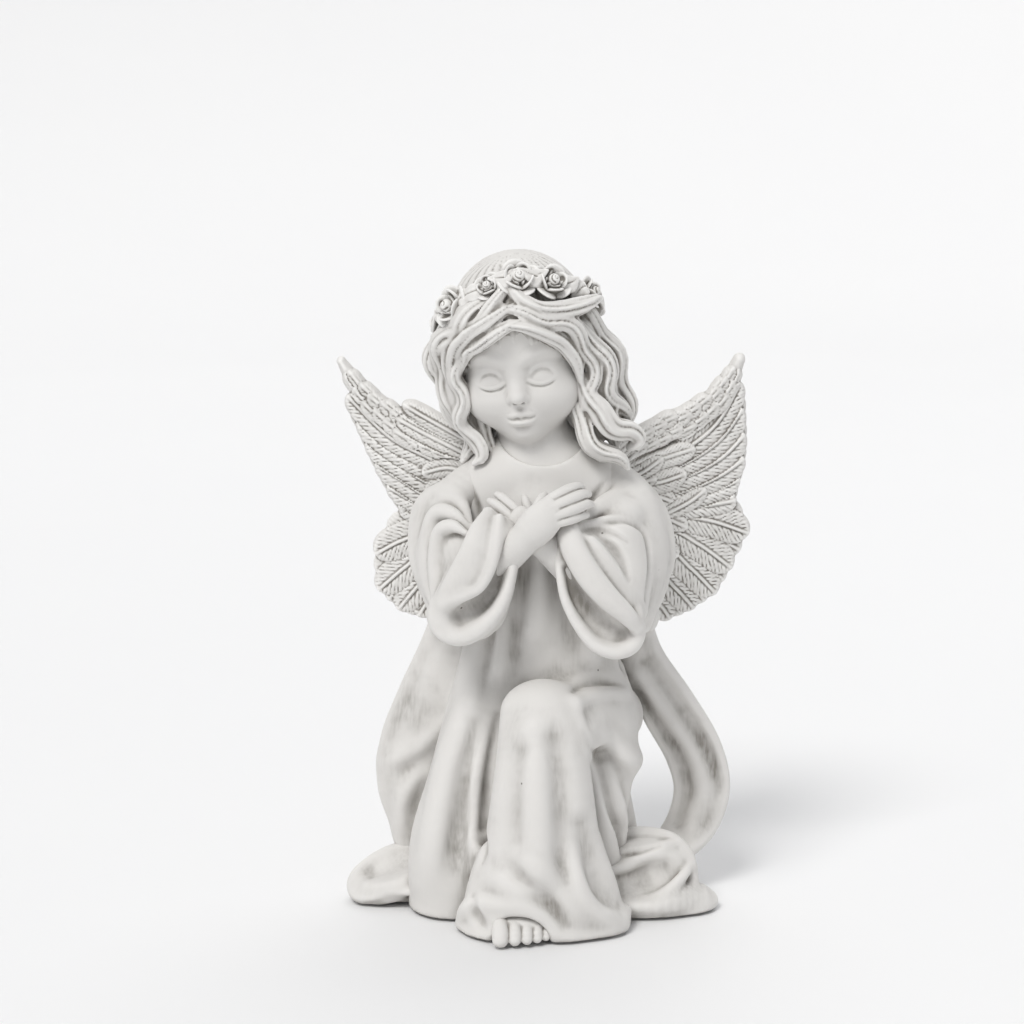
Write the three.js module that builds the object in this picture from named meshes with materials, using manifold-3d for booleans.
// A kneeling angel figurine in cast resin. Millimetres, +Z up, the front faces -Y.
// The origin is the middle of the footprint, on the surface the figurine stands on.
// Left and right are the angel's own, so the right arm lies at -X.
import * as THREE from 'three';
import { mergeVertices } from 'three/addons/utils/BufferGeometryUtils.js';
import Module from 'manifold-3d';

const wasm = await Module();
wasm.setup();

// Driving dimensions.
const BASE_Z = 0.8; // underside of the castings
const FELT_THICKNESS = 0.5;
const BOND_GAP = 0.3; // glue line between two castings
const FINGER_RADIUS = 1.75;
const TOE_RADIUS = 1.7;
const PEG_RADIUS = 2; // pegs cast on the wings, in sockets in the back
const HEAD_CENTRE = new THREE.Vector3(-6.3, -2, 170);
const HEAD_TURN = new THREE.Euler(
  THREE.MathUtils.degToRad(13), // bowed forward
  THREE.MathUtils.degToRad(-9), // leaning to the right shoulder
  THREE.MathUtils.degToRad(-7), // looking to the right
);
const CAP_CENTRE = [0, 5, 6]; // the cap of hair, about the head's own centre
const CAP_HALF = [22.5, 23.5, 24];
const BAND_RADIUS = 2.2; // the garland's twisted band
const GARLAND_HEIGHT = 4.8; // of its sides over the middle of the cap
const GARLAND_SLANT = 12.8; // its brow is this much higher than its sides
const GARLAND_ROLL = 1.9; // its left side is this much higher, and its right side lower
const BIG = 300;

const X = new THREE.Vector3(1, 0, 0);
const Y = new THREE.Vector3(0, 1, 0);
const Z = new THREE.Vector3(0, 0, 1);
const vector = ([x, y, z]) => new THREE.Vector3(x, y, z);

// The solid that a closed geometry bounds.
function solidOf(geometry) {
  geometry.deleteAttribute('normal');
  geometry.deleteAttribute('uv');
  const merged = mergeVertices(geometry, 1e-4);
  const vertProperties = merged.attributes.position.array;
  const triVerts = new Uint32Array(merged.index.array);
  return new wasm.Manifold(new wasm.Mesh({ numProp: 3, vertProperties, triVerts }));
}

// The geometry of the largest body of a solid, without slivers.
function geometryOf(solid) {
  const bodies = solid.decompose();
  const largest = bodies.reduce((a, b) => (b.volume() > a.volume() ? b : a));
  const { vertProperties, triVerts } = largest.getMesh();
  return new THREE.BufferGeometry()
    .setAttribute('position', new THREE.BufferAttribute(vertProperties, 3))
    .setIndex(new THREE.BufferAttribute(triVerts, 1));
}

const join = (...solids) => solids.flat().reduce((all, one) => all.add(one));
const cut = (solid, ...tools) => tools.flat().reduce((rest, tool) => rest.subtract(tool), solid);

function block(low, high) {
  const size = vector(high).sub(vector(low));
  const middle = vector(low).add(vector(high)).multiplyScalar(0.5);
  return solidOf(new THREE.BoxGeometry(...size).translate(...middle));
}

const belowBase = block([-BIG, -BIG, -BIG], [BIG, BIG, BASE_Z]);

// A rounded limb along a curve through points. sizes holds the half sizes [along side, across side]
// at each point; blunt is 1 for an ellipsoid's ends and nearer 0 for a cylinder's; grow swells it.
function limb(points, sizes, { side = X, sides = 12, steps = 8, blunt = 0.5, grow = 0 } = {}) {
  const path = new THREE.CatmullRomCurve3(points.map(vector), false, 'catmullrom', 0.5);
  const size = new THREE.CatmullRomCurve3(sizes.map(([a, b]) => new THREE.Vector3(a, b, 0)));
  const geometry = new THREE.SphereGeometry(1, sides, steps);
  const position = geometry.attributes.position;
  const unit = new THREE.Vector3();
  for (let i = 0; i < position.count; i++) {
    unit.fromBufferAttribute(position, i);
    const round = Math.sqrt(Math.max(0, 1 - unit.y * unit.y));
    const t = (1 - unit.y) / 2;
    const centre = path.getPoint(t);
    const tangent = path.getTangent(t);
    const u = side.clone().addScaledVector(tangent, -side.dot(tangent)).normalize();
    const v = tangent.clone().cross(u);
    const around = Math.atan2(unit.z, unit.x);
    const half = size.getPoint(t);
    const full = Math.pow(round, blunt);
    centre
      .addScaledVector(tangent, -grow * unit.y)
      .addScaledVector(u, (half.x * full + grow * round) * Math.cos(around))
      .addScaledVector(v, (half.y * full + grow * round) * Math.sin(around));
    position.setXYZ(i, centre.x, centre.y, centre.z);
  }
  return solidOf(geometry);
}

// An ellipsoid with half sizes [x, y, z], turned by a quaternion.
function ellipsoid(centre, half, { turn = new THREE.Quaternion(), sides = 16, steps = 10, grow = 0 } = {}) {
  const geometry = new THREE.SphereGeometry(1, sides, steps)
    .rotateX(Math.PI / 2)
    .scale(half[0] + grow, half[1] + grow, half[2] + grow)
    .applyQuaternion(turn)
    .translate(...vector(centre));
  return solidOf(geometry);
}

// ---- The robe: torso, yoke, the two bent legs under the skirt, and the train behind.

function robeShape(grow = 0) {
  const torso = limb(
    [[-2, 6, -12], [-2, 6, 12], [-2, 6, 35], [-1, 5, 58], [0, 3, 80], [0, 2, 100], [0, 1, 118], [0, 1, 129], [0, 1, 138], [0, 1, 143]],
    [[36, 33], [34, 31], [31, 27], [27, 23], [23, 19], [24, 18], [28, 17], [26, 15], [15, 11], [11, 9]],
    { sides: 20, steps: 16, blunt: 0.3, grow },
  );
  const raisedThigh = limb(
    [[20, 8, 58], [13, -8, 61], [2, -28, 63]],
    [[13, 12], [13, 12], [12.5, 12]],
    { side: Z, sides: 10, steps: 7, blunt: 0.45, grow },
  );
  const raisedShin = limb(
    [[1, -28, 68], [0, -32, 50], [-1, -33, 28], [-1, -33, 10], [-1, -33, -8]],
    [[11, 9], [14.5, 11], [18, 13.5], [22.5, 15.5], [23, 16]],
    { sides: 14, steps: 8, blunt: 0.4, grow },
  );
  const kneelingThigh = limb(
    [[-15, 0, 82], [-20, -5, 58], [-25, -9, 34], [-27, -10, 12], [-27, -10, -10]],
    [[10, 10], [13, 13], [14, 14.5], [14.5, 15.5], [14, 15]],
    { sides: 12, steps: 8, blunt: 0.4, grow },
  );
  const thighCloth = limb(
    [[22, 6, 74], [22, -2, 55], [20, -6, 32], [16, -6, 12], [14, -6, -8]],
    [[8, 10], [9.5, 11], [9, 12], [9, 12], [9, 12]],
    { sides: 12, steps: 8, blunt: 0.4, grow },
  );
  const train = limb(
    [[-6, 10, 18], [-7, 28, 13], [-8, 48.5, 5]],
    [[30, 20], [26, 14], [18, 7]],
    { sides: 12, steps: 7, blunt: 0.5, grow },
  );
  return join(torso, raisedThigh, raisedShin, kneelingThigh, thighCloth, train);
}

// The casting is hollow, and open underneath.
const robeHollow = () => limb(
  [[-3, 6, -12], [-3, 6, 14], [-2, 6, 45], [-1, 5, 78], [0, 3, 98]],
  [[26, 23], [25, 21], [19, 16], [14, 11], [11, 9]],
  { sides: 12, steps: 7, blunt: 0.35 },
);

// The felt under the casting, set in from its edge.
function feltShape() {
  const outline = new THREE.Shape();
  const edge = [[-35, -17], [-22, -27], [-12, -40], [8, -41], [17, -28], [24, -8], [26, 12], [12, 29],
    [-6, 40], [-18, 30], [-30, 12]].map(([x, y]) => new THREE.Vector2(x, y));
  const round = new THREE.CatmullRomCurve3(edge.map(({ x, y }) => new THREE.Vector3(x, y, 0)), true);
  outline.setFromPoints(round.getPoints(32).slice(0, -1).map(({ x, y }) => new THREE.Vector2(x, y)));
  return solidOf(new THREE.ExtrudeGeometry(outline, { depth: FELT_THICKNESS, bevelEnabled: false }));
}

// ---- The head, built about its own centre and then bowed.

const headTurn = new THREE.Quaternion().setFromEuler(HEAD_TURN);
const headPoint = (p) => vector(p).applyQuaternion(headTurn).add(HEAD_CENTRE).toArray();
const headSide = (v) => v.clone().applyQuaternion(headTurn);

function headShape(grow = 0) {
  const skull = ellipsoid(headPoint([0, 3, 4]), [18.5, 20.5, 20.5], { turn: headTurn, sides: 12, steps: 8, grow });
  const face = ellipsoid(headPoint([0, -5, -7]), [16, 14, 17.5], { turn: headTurn, sides: 12, steps: 8, grow });
  const nose = limb(
    [headPoint([0, -17, 0]), headPoint([0, -20, -6]), headPoint([0, -18, -8])],
    [[1.2, 1.2], [2.2, 2], [2, 1]],
    { side: headSide(X), sides: 8, steps: 6, grow },
  );
  const neck = limb(
    [[0, 2, 126], [-0.5, 1, 138], [-2.5, 0, 152], [-4, 0, 160]],
    [[11.5, 10], [10.5, 10], [10.5, 10.5], [10.5, 10.5]],
    { sides: 12, steps: 6, blunt: 0.3, grow },
  );
  return join(skull, face, nose, neck);
}

// ---- The hair: a cap over the skull and locks that fall to the shoulders.

const LOCKS = [
  { path: [[-13, -16, 184], [-24, -14, 180], [-30, -8, 170], [-30, -6, 157], [-24, -7, 147]], half: [4.5, 4] },
  { path: [[-19, -14, 176], [-24, -12, 166], [-23, -11, 154], [-18, -10, 144], [-14, -9, 138]], half: [3.8, 3.4] },
  { path: [[-27, 3, 182], [-32, 4, 168], [-31, 6, 154], [-24, 8, 140]], half: [6.5, 6] },
  { path: [[2, -17, 187], [12, -16, 183], [18, -10, 173], [20, -7, 160], [23, -5, 147], [27, -2, 142]], half: [4.8, 4] },
  { path: [[12, -13, 177], [16, -11, 166], [16, -9, 154], [18, -6, 144]], half: [3.8, 3.4] },
  { path: [[17, 3, 183], [22, 4, 168], [24, 5, 154], [26, 7, 141]], half: [6.5, 6] },
  { path: [[-18, 18, 186], [-23, 22, 166], [-17, 20, 144]], half: [8.5, 6] },
  { path: [[-4, 23, 188], [-4, 27, 166], [-1, 22, 141]], half: [9, 6] },
  { path: [[11, 18, 186], [16, 22, 166], [15, 19, 144]], half: [8.5, 6] },
  { path: [[-7, -18, 190], [-14, -19, 185], [-21, -15, 176]], half: [3.6, 2.8] },
  { path: [[-3, -19, 190], [4, -20, 185], [12, -16, 179]], half: [3.6, 2.8] },
];

function hairShape(grow = 0) {
  const cap = ellipsoid(headPoint(CAP_CENTRE), CAP_HALF, { turn: headTurn, sides: 14, steps: 8, grow });
  const opening = limb(
    [headPoint([0, -20, 14]), headPoint([0, -22, -6]), headPoint([0, -18, -30])],
    [[12, 14], [15.5, 15], [15, 18]],
    { side: headSide(X), sides: 12, steps: 7, blunt: 0.5, grow: -grow },
  );
  const locks = LOCKS.map(({ path, half: [a, b] }) => {
    const sizes = path.map((_, i) => (i === path.length - 1 ? [a * 0.6, b * 0.6] : [a, b]));
    return limb(path, sizes, { side: X, sides: 6, steps: 5, grow });
  });
  return join(cut(cap, opening), locks);
}

// ---- The garland: a twisted band round the head, high on the brow and low behind, with roses on it.

// A point on the hair cap's surface, by its angle from the brow towards the left ear.
function onCap(angle, lift = 0) {
  const height = GARLAND_HEIGHT + GARLAND_SLANT * Math.cos(angle) + GARLAND_ROLL * Math.sin(angle);
  const up = Math.asin(height / CAP_HALF[2]);
  const out = [Math.cos(up) * Math.sin(angle), -Math.cos(up) * Math.cos(angle), Math.sin(up)];
  return vector(headPoint(CAP_CENTRE.map((value, i) => value + out[i] * (CAP_HALF[i] + lift))));
}

const garland = new THREE.CatmullRomCurve3(
  Array.from({ length: 20 }, (_, i) => onCap((i * 2 * Math.PI) / 20, BAND_RADIUS * 0.6)),
  true,
);

// A closed tube along the garland: a ring of radius 2 and 1 carried onto the curve.
function bandShape(grow = 0) {
  const geometry = new THREE.TorusGeometry(2, 1, 6, 24);
  const position = geometry.attributes.position;
  const unit = new THREE.Vector3();
  for (let i = 0; i < position.count; i++) {
    unit.fromBufferAttribute(position, i);
    const along = Math.atan2(unit.y, unit.x) / (2 * Math.PI);
    const t = THREE.MathUtils.euclideanModulo(along, 1);
    const tangent = garland.getTangentAt(t);
    const up = Z.clone().addScaledVector(tangent, -Z.dot(tangent)).normalize();
    const out = tangent.clone().cross(up);
    const point = garland.getPointAt(t)
      .addScaledVector(out, (Math.hypot(unit.x, unit.y) - 2) * (BAND_RADIUS + grow))
      .addScaledVector(up, unit.z * (BAND_RADIUS + grow));
    position.setXYZ(i, point.x, point.y, point.z);
  }
  return solidOf(geometry);
}

// Each rose's angle round the cap from the brow, in degrees, and its radius.
const ROSES = [
  { angle: -49, radius: 6 }, { angle: -14, radius: 4.2 }, { angle: 17, radius: 5.6 },
  { angle: 46, radius: 5.6 }, { angle: 84, radius: 4.8 }, { angle: 122, radius: 4.8 },
  { angle: 168, radius: 4.8 }, { angle: -144, radius: 4.8 }, { angle: -98, radius: 5 },
];

function roseShape({ angle, radius }, grow = 0) {
  const place = onCap(THREE.MathUtils.degToRad(angle), BAND_RADIUS + 1);
  const out = place.clone().sub(vector(headPoint(CAP_CENTRE))).normalize();
  const turn = new THREE.Quaternion().setFromUnitVectors(Z, out);
  const at = (p) => vector(p).applyQuaternion(turn).add(place).toArray();
  const bud = ellipsoid(at([0, 0, radius * 0.35]), [radius * 0.62, radius * 0.62, radius * 0.62],
    { turn, sides: 6, steps: 4, grow });
  const petals = [0, 1, 2].map((k) => {
    const spin = (k * 2 * Math.PI) / 3 + angle;
    const [c, s] = [Math.cos(spin), Math.sin(spin)];
    const side = new THREE.Vector3(-s, c, 0).applyQuaternion(turn);
    const reach = radius * 0.62;
    return limb(
      [at([c * reach * 0.3, s * reach * 0.3, -radius * 0.4]), at([c * reach, s * reach, 0]),
        at([c * reach * 1.05, s * reach * 1.05, radius * 0.5])],
      [[radius * 0.6, radius * 0.3], [radius * 0.8, radius * 0.28], [radius * 0.7, radius * 0.2]],
      { side, sides: 5, steps: 3, grow },
    );
  });
  return join(bud, petals);
}

// ---- The wings: a leading edge and a row of overlapping feathers, on a peg in the back.

// Each feather runs from root to tip as [x, y, z], for a wing on the +X side.
const LEFT_FEATHERS = [
  { root: [22, 15, 128], tip: [63.5, 29, 165], half: 4.6 },
  { root: [22, 15, 124], tip: [64, 29, 153], half: 5.6 },
  { root: [22, 15, 120], tip: [64, 28, 141], half: 5.8 },
  { root: [22, 15, 116], tip: [63, 27, 130], half: 5.8 },
  { root: [22, 15, 112], tip: [61, 26, 120], half: 5.4 },
  { root: [20, 15, 109], tip: [64, 25, 109], half: 6.2 },
  { root: [20, 14, 106], tip: [58.5, 23.5, 98], half: 6 },
  { root: [20, 14, 104], tip: [51.5, 21.5, 90], half: 5.6 },
  { root: [20, 13, 102], tip: [43.5, 19.5, 85.5], half: 5 },
  { root: [19, 12, 101], tip: [36, 17, 83.5], half: 4.6 },
];
const RIGHT_FEATHERS = [
  { root: [-20, 15, 126], tip: [-63.5, 28, 164], half: 4.6 },
  { root: [-20, 15, 122], tip: [-60.5, 28, 151], half: 5.4 },
  { root: [-20, 15, 118], tip: [-56.5, 27, 140], half: 5.4 },
  { root: [-20, 15, 114], tip: [-52, 26, 129], half: 5.4 },
  { root: [-20, 15, 111], tip: [-45, 24, 118], half: 5 },
  { root: [-20, 15, 108], tip: [-50.5, 24, 105], half: 6 },
  { root: [-19, 14, 105], tip: [-50, 22, 94], half: 5.8 },
  { root: [-19, 13, 103], tip: [-43, 20, 87.5], half: 5.2 },
  { root: [-18, 12, 101], tip: [-35.5, 17, 85], half: 4.6 },
];
const LEFT_EDGE = [[12, 17, 122], [24, 17, 138], [37, 20, 149], [50, 25, 153], [62.5, 29, 165]];
const RIGHT_EDGE = [[-12, 17, 122], [-24, 17, 138], [-36, 20, 150], [-48, 24, 154], [-62.5, 28, 164.5]];
const COVERT = { centre: [27, 16.5, 121], half: [14, 4.4, 19] };

function wingShape(feathers, edge, hand, grow = 0) {
  const vanes = feathers.map(({ root, tip, half }) => {
    const middle = root.map((value, i) => value * 0.45 + tip[i] * 0.55 + (i === 2 ? 1.2 : 0));
    return limb([root, middle, tip], [[half * 0.7, 2.4], [half, 2.2], [half * 0.8, 1.5]],
      { side: Z, sides: 6, steps: 5, blunt: 0.45, grow });
  });
  const leadingEdge = limb(edge, edge.map((_, i) => [5 - 0.8 * i, 4.2 - 0.6 * i]),
    { side: Z, sides: 8, steps: 7, blunt: 0.45, grow });
  const covert = ellipsoid([hand * COVERT.centre[0], COVERT.centre[1], COVERT.centre[2]], COVERT.half,
    { sides: 10, steps: 7, grow });
  return join(leadingEdge, covert, vanes);
}

const pegShape = (hand, grow = 0) => limb(
  [[hand * 12, 9, 119], [hand * 17, 12.6, 119], [hand * 22, 16.2, 119]],
  [[PEG_RADIUS, PEG_RADIUS], [PEG_RADIUS, PEG_RADIUS], [PEG_RADIUS, PEG_RADIUS]],
  { side: Z, sides: 8, steps: 5, blunt: 0.15, grow },
);

// ---- The arms: a wide sleeve on each side, and a hand on a bare forearm.

function rightSleeveShape(grow = 0) {
  const upperArm = limb(
    [[-20, 2, 130], [-28, -1, 121], [-30.5, -6, 107], [-28, -13, 93]],
    [[9, 9], [9, 11], [8.5, 11.5], [8, 9]], { sides: 10, steps: 7, grow });
  const forearm = limb(
    [[-31, -10, 103], [-23, -20, 108], [-11, -25, 116]],
    [[13, 8], [12, 8], [7, 5.5]], { side: Z, sides: 10, steps: 6, grow });
  const hanging = limb(
    [[-12, -25, 116], [-17, -26, 106], [-22, -25, 95], [-22, -22, 86]],
    [[8, 7], [12, 9], [14, 9.5], [11, 8]], { sides: 12, steps: 7, blunt: 0.6, grow });
  return join(upperArm, forearm, hanging);
}

const rightMouth = (grow = 0) => limb(
  [[-9, -33, 110], [-14, -36, 102], [-20, -37, 94]],
  [[3, 4], [8, 8], [7, 7]], { sides: 10, steps: 6, blunt: 0.8, grow });

function leftSleeveShape(grow = 0) {
  const upperArm = limb(
    [[20, 2, 131], [29, -1, 122], [31, -6, 108], [28.5, -12, 93]],
    [[9, 9], [9, 11], [8.5, 11.5], [7.5, 9]], { sides: 10, steps: 7, grow });
  const forearm = limb(
    [[31, -9, 104], [22, -19, 109], [8, -24, 115]],
    [[13, 8], [12, 8], [6.5, 5]], { side: Z, sides: 10, steps: 6, grow });
  const hanging = limb(
    [[8, -25, 117], [13, -26, 107], [20, -25, 96], [22, -22, 85]],
    [[6, 7], [10, 9], [13, 9.5], [10, 8]], { sides: 12, steps: 7, blunt: 0.6, grow });
  return join(upperArm, forearm, hanging);
}

const leftMouth = (grow = 0) => limb(
  [[6, -33, 107], [12, -36, 99], [20, -37, 92]],
  [[2.5, 4], [6.5, 8], [6.5, 7]], { sides: 10, steps: 6, blunt: 0.8, grow });

// A forearm, a palm and four fingers and a thumb side by side, from the wrist to the finger tips.
function handShape({ elbow, wrist, palm, fingers, thumb }, grow = 0) {
  const forearm = limb([elbow, wrist, palm], [[5.5, 5], [4.6, 4], [5, 3.2]],
    { side: Z, sides: 8, steps: 5, blunt: 0.4, grow });
  const back = ellipsoid(palm, [5, 3.2, 6], { sides: 10, steps: 6, grow });
  const digits = [...fingers, thumb].map((path) => limb(path,
    path.map(() => [FINGER_RADIUS, FINGER_RADIUS]), { side: Z, sides: 5, steps: 4, blunt: 0.4, grow }));
  return join(forearm, back, digits);
}

const RIGHT_HAND = {
  elbow: [-13, -27, 109], wrist: [-4, -30.5, 118], palm: [4.5, -31, 125],
  fingers: [
    [[3, -31, 127.5], [8, -29, 131], [13.5, -22.5, 132]],
    [[4, -31.8, 125.5], [9.5, -30, 128], [15, -24, 129]],
    [[5, -31.8, 123.3], [10, -30.4, 125], [14.5, -25.5, 125.8]],
    [[4, -31.2, 121.3], [8.5, -30.6, 122], [12.5, -27, 122.5]],
  ],
  thumb: [[0, -29, 123], [2, -27, 129], [5, -23, 133]],
};
const LEFT_HAND = {
  elbow: [10, -24.5, 107], wrist: [1, -25, 115.5], palm: [-7, -24, 122],
  fingers: [
    [[-6, -23, 125], [-9, -21.5, 129], [-11.5, -18.5, 132]],
    [[-8, -24, 123.5], [-12, -22.2, 127.5], [-15, -18.8, 130]],
    [[-9.5, -24.3, 121.5], [-14, -22.5, 125], [-17.5, -19, 127.3]],
    [[-10, -24.3, 119], [-14.5, -22.6, 121.8], [-18, -19.4, 123.8]],
  ],
  thumb: [[-3, -22, 124], [-3.5, -20, 129], [-4.5, -17.5, 132.5]],
};

// ---- The sash: a swag across the back, and a fall beside each leg.

const sashBackShape = (grow = 0) => limb(
  [[-33, 6, 88], [-24, 20, 84], [0, 28, 76], [24, 20, 84], [34, 6, 88]],
  [[6, 4], [8, 4], [9, 4], [8, 4], [6, 4]], { side: Z, sides: 8, steps: 10, blunt: 0.3, grow });

const sashRightShape = (grow = 0) => limb(
  [[-30, 9, 86], [-35, 10, 70], [-42, 11, 48], [-42, 10, 32], [-37, 8, 14], [-35, 6, 5]],
  [[7, 4], [8, 3.5], [9, 3], [9, 3], [6, 3.5], [6, 4]],
  { side: new THREE.Vector3(0.75, -0.66, 0), sides: 8, steps: 11, blunt: 0.3, grow });

const sashLeftShape = (grow = 0) => limb(
  [[30, 9, 86], [36, 11, 70], [45, 13, 50], [50.5, 13, 32], [46, 11, 15], [35, 7, 6]],
  [[6.5, 4], [7.5, 3.5], [9, 3.2], [8, 3.2], [7.5, 3.5], [5, 4]],
  { side: X, sides: 8, steps: 12, blunt: 0.3, grow });

// ---- Cloth pooled on the ground on each side, and the bare foot under the hem.

function rightPoolShape(grow = 0) {
  const pool = limb([[-30, 6, 6], [-44, -2, 6], [-60, -3, 4.5]], [[14, 9], [17, 8], [10, 4.5]],
    { side: Y, sides: 12, steps: 7, blunt: 0.45, grow });
  const rim = limb([[-37, 12, 11], [-46, 11, 10], [-56, 5, 7]], [[3, 3], [3, 3], [2.5, 2.5]],
    { side: Y, sides: 7, steps: 5, grow });
  const hollow = ellipsoid([-46, 0, 15], [9, 9, 5], { sides: 10, steps: 6, grow: -grow });
  return cut(join(pool, rim), hollow);
}

function leftPoolShape(grow = 0) {
  const lower = limb([[22, -14, 6], [36, -15, 6], [53, -10, 3]], [[16, 10], [17, 9], [10, 4]],
    { side: Y, sides: 12, steps: 7, blunt: 0.45, grow });
  const upper = limb([[24, -8, 14], [36, -9, 14], [45, -9, 10]], [[12, 8], [13, 8], [9, 8]],
    { side: Y, sides: 12, steps: 6, blunt: 0.5, grow });
  return join(lower, upper);
}

function footShape(grow = 0) {
  const foot = limb([[-6.5, -34, 6], [-7, -42, 5], [-7, -46.5, 3.8]], [[7, 4.5], [8, 4], [7.5, 2.8]],
    { sides: 10, steps: 5, blunt: 0.4, grow });
  const toes = [0, 1, 2, 3, 4].map((k) => {
    const x = -13.6 + k * 3.5;
    const tip = -49.8 + 0.2 * k * k;
    const radius = k === 0 ? TOE_RADIUS * 1.25 : TOE_RADIUS;
    return limb([[x, -40, 4.6], [x, -45, 4.2], [x, tip, 3.4]], [[radius, radius], [radius, radius], [radius, radius]],
      { sides: 6, steps: 4, blunt: 0.5, grow });
  });
  return join(foot, toes);
}

// ---- Materials.

const resin = () => new THREE.MeshStandardMaterial({ color: 0xe2dfda, roughness: 0.62, metalness: 0 });
const felt = () => new THREE.MeshStandardMaterial({ color: 0x8c8c88, roughness: 0.95, metalness: 0 });

// ---- The assembly. Each casting is cut back from the ones it is glued to, so it seats with a glue line.

const angel = new THREE.Group();
angel.name = 'kneeling_angel';

function add(name, solid, material) {
  const mesh = new THREE.Mesh(geometryOf(solid), material);
  mesh.name = name;
  angel.add(mesh);
}

const pegs = [pegShape(-1, BOND_GAP), pegShape(1, BOND_GAP)];
const neckSocket = headShape(BOND_GAP);
const foot = footShape(BOND_GAP);
add('robe', cut(robeShape(), belowBase, robeHollow(), neckSocket, pegs, foot), resin());
const robe = join(robeShape(BOND_GAP), belowBase);

add('base_felt', feltShape(), felt());
add('left_foot', cut(footShape(), belowBase), resin());

add('head', headShape(), resin());
const head = headShape(BOND_GAP);
add('hair', cut(hairShape(), head, robe), resin());
const hair = hairShape(BOND_GAP);
add('garland_band', cut(bandShape(), hair, head), resin());
const band = bandShape(BOND_GAP);
ROSES.forEach((rose, i) => {
  const earlier = ROSES.slice(0, i).map((other) => roseShape(other, BOND_GAP));
  add(`rose_${i + 1}`, cut(roseShape(rose), band, hair, head, earlier), resin());
});

const rightWing = (grow) => wingShape(RIGHT_FEATHERS, RIGHT_EDGE, -1, grow);
const leftWing = (grow) => wingShape(LEFT_FEATHERS, LEFT_EDGE, 1, grow);
add('right_wing', join(cut(rightWing(), robe, hair), pegShape(-1)), resin());
add('left_wing', join(cut(leftWing(), robe, hair), pegShape(1)), resin());
const wings = [rightWing(BOND_GAP), leftWing(BOND_GAP)];

add('left_hand', cut(handShape(LEFT_HAND), robe), resin());
const leftHand = handShape(LEFT_HAND, BOND_GAP);
add('right_hand', cut(handShape(RIGHT_HAND), robe, leftHand), resin());
const hands = [leftHand, handShape(RIGHT_HAND, BOND_GAP)];
add('right_sleeve', cut(rightSleeveShape(), robe, hands, wings, hair, rightMouth()), resin());
add('left_sleeve', cut(leftSleeveShape(), robe, hands, wings, hair, leftMouth()), resin());
const sleeves = [rightSleeveShape(BOND_GAP), leftSleeveShape(BOND_GAP)];

add('sash_back', cut(sashBackShape(), robe, sleeves, wings), resin());
const sashBack = sashBackShape(BOND_GAP);
add('sash_right', cut(sashRightShape(), robe, sleeves, wings, sashBack), resin());
add('sash_left', cut(sashLeftShape(), robe, sleeves, wings, sashBack), resin());
const sashes = [sashRightShape(BOND_GAP), sashLeftShape(BOND_GAP)];
add('right_pool', cut(rightPoolShape(), robe, sashes), resin());
add('left_pool', cut(leftPoolShape(), robe, sashes), resin());

// The frame's origin is under the middle of the whole figurine.
const middle = new THREE.Box3().setFromObject(angel).getCenter(new THREE.Vector3());
angel.position.set(-middle.x, -middle.y, 0);

export default angel;
